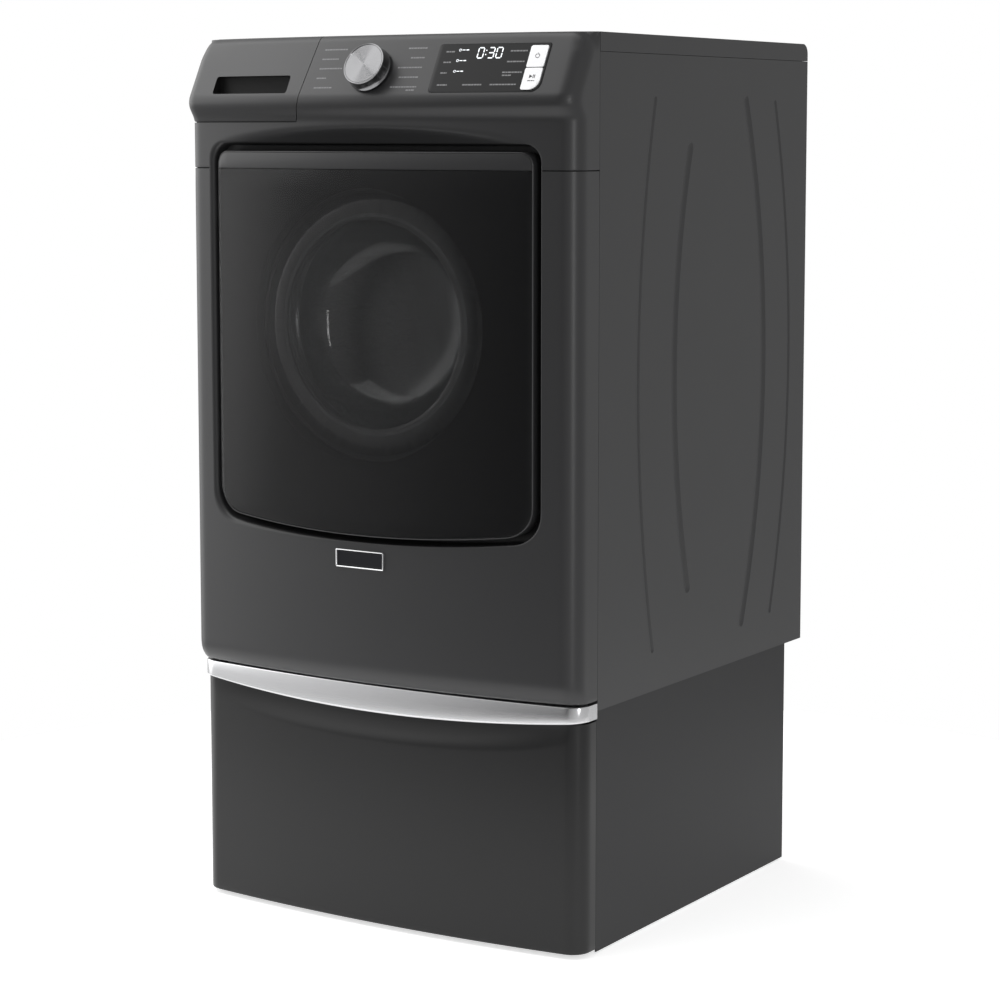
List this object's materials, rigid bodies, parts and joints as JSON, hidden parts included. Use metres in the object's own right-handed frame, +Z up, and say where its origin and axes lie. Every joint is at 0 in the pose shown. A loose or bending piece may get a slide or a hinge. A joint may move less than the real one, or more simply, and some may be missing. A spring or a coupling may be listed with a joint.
{
  "type": "front load washing machine",
  "caption": "Front load washing machine with a round drum, leaning console, bowed door and side ribs, on a storage pedestal with a sliding drawer.",
  "frame": {"origin": "on the floor, under the middle of the machine's overall width and depth", "axes": "+Z up, -Y towards the user, +X to the right as the user faces the machine"},
  "size_m": [0.686, 0.8037, 1.324],
  "materials": {
    "body_paint": "satin",
    "fascia_paint": "satin",
    "galvanised_steel": "matte",
    "stainless_drum": "satin",
    "chrome_trim": "brushed",
    "knob_chrome": "polished",
    "door_smoked": "gloss",
    "door_inner_plastic": "satin",
    "ring_plastic": "satin",
    "bowl_glass": "clear",
    "display_dark": "gloss",
    "button_silver": "satin",
    "tub_plastic": "matte",
    "dispenser_plastic": "satin",
    "rubber_grey": "matte",
    "rubber_black": "matte",
    "concrete": "matte",
    "cast_alloy": "matte",
    "spring_steel": "satin",
    "hinge_steel": "satin",
    "black_plastic": "matte",
    "brass_thread": "satin",
    "badge_metal": "satin"
  },
  "bodies": {
    "cabinet": {"side_panel_left": "body_paint", "side_panel_right": "body_paint", "rear_panel": "galvanised_steel", "rear_cover": "galvanised_steel", "cover_screws": "hinge_steel", "top_panel": "body_paint", "base_pan": "galvanised_steel", "front_beam": "galvanised_steel", "hanger_rails": "galvanised_steel", "console_fascia": "fascia_paint", "front_panel": "body_paint", "display_window": "display_dark", "display_module": "black_plastic", "dispenser_housing": "dispenser_plastic", "inlet_valves": "brass_thread", "cord_gland": "black_plastic", "door_lock": "black_plastic", "hinge_brackets": "hinge_steel", "gasket_bellows": "rubber_grey", "badge": "badge_metal", "drain_pump": "black_plastic", "drain_pipe": "tub_plastic", "sump_hose": "rubber_black", "fill_hose": "rubber_black", "suspension_springs": "spring_steel", "damper_tubes": "black_plastic", "pedestal_shell": "body_paint", "pedestal_bottom_frame": "galvanised_steel", "levelling_feet": "black_plastic", "slide_rails_outer": "galvanised_steel"},
    "tub": {"tub_front": "tub_plastic", "tub_rear": "tub_plastic", "front_weight": "concrete", "top_weight": "concrete", "motor": "cast_alloy", "damper_rods": "spring_steel", "shaft_bearings": "hinge_steel", "drive_belt": "rubber_black"},
    "drum": {"drum_basket": "stainless_drum", "drum_lifters": "tub_plastic", "drum_spider": "cast_alloy", "drum_pulley": "cast_alloy"},
    "rotor": {"motor_pulley": "hinge_steel"},
    "door": {"door_panel": "door_smoked", "door_trim": "fascia_paint", "door_frame": "door_inner_plastic", "door_inner_ring": "ring_plastic", "door_glass_bowl": "bowl_glass", "door_hinge_leaves": "hinge_steel", "door_strike": "hinge_steel"},
    "dispenser": {"dispenser_drawer_front": "fascia_paint", "dispenser_tray": "dispenser_plastic"},
    "power_key": {"power_button": "button_silver"},
    "start_key": {"start_button": "button_silver"},
    "knob": {"knob_dial": "knob_chrome"},
    "drawer": {"drawer_front_panel": "body_paint", "drawer_handle_trim": "chrome_trim", "drawer_bin": "galvanised_steel", "slide_rails_inner": "galvanised_steel"},
    "drawer_slider": {"slide_rails_middle": "galvanised_steel"}
  },
  "joints": [
    {"name": "door_swing", "type": "hinge", "parent": "cabinet", "child": "door", "pos_m": [-0.2715, -0.3503, 0.905], "axis": [0, 0, -1], "range_deg": [0, 95]},
    {"name": "dispenser_slide", "type": "slide", "parent": "cabinet", "child": "dispenser", "axis": [0, -1, 0], "range_m": [0, 0.25]},
    {"name": "pedestal_drawer_slide", "type": "slide", "parent": "cabinet", "child": "drawer", "axis": [0, -1, 0], "range_m": [0, 0.4]},
    {"name": "drawer_slider_slide", "type": "slide", "parent": "cabinet", "child": "drawer_slider", "axis": [0, -1, 0], "range_m": [0, 0.2]},
    {"name": "knob_turn", "type": "hinge", "parent": "cabinet", "child": "knob", "pos_m": [0.011, -0.36781, 1.272], "axis": [0, -0.8831, 0.4692], "continuous": true},
    {"name": "power_press", "type": "slide", "parent": "cabinet", "child": "power_key", "axis": [0, 0.8831, -0.4692], "range_m": [0, 0.0015], "stiffness_N_per_m": 900, "springref_m": -0.0008},
    {"name": "start_press", "type": "slide", "parent": "cabinet", "child": "start_key", "axis": [0, 0.8831, -0.4692], "range_m": [0, 0.0015], "stiffness_N_per_m": 900, "springref_m": -0.0008},
    {"name": "tub_bounce", "type": "slide", "parent": "cabinet", "child": "tub", "axis": [0, 0, 1], "range_m": [-0.014, 0.014], "stiffness_N_per_m": 40000, "springref_m": 0.01799, "deforming": ["suspension_springs", "sump_hose", "fill_hose"]},
    {"name": "drum_spin", "type": "hinge", "parent": "tub", "child": "drum", "pos_m": [0, 0, 0.905], "axis": [0, 1, 0], "continuous": true},
    {"name": "motor_spin", "type": "hinge", "parent": "tub", "child": "rotor", "pos_m": [0.10474, 0.29, 0.53972], "axis": [0, 1, 0], "continuous": true}
  ],
  "couplings": [
    {"joint": "motor_spin", "follows": "drum_spin", "ratio": 11.539},
    {"joint": "drawer_slider_slide", "follows": "pedestal_drawer_slide", "ratio": 0.5}
  ]
}
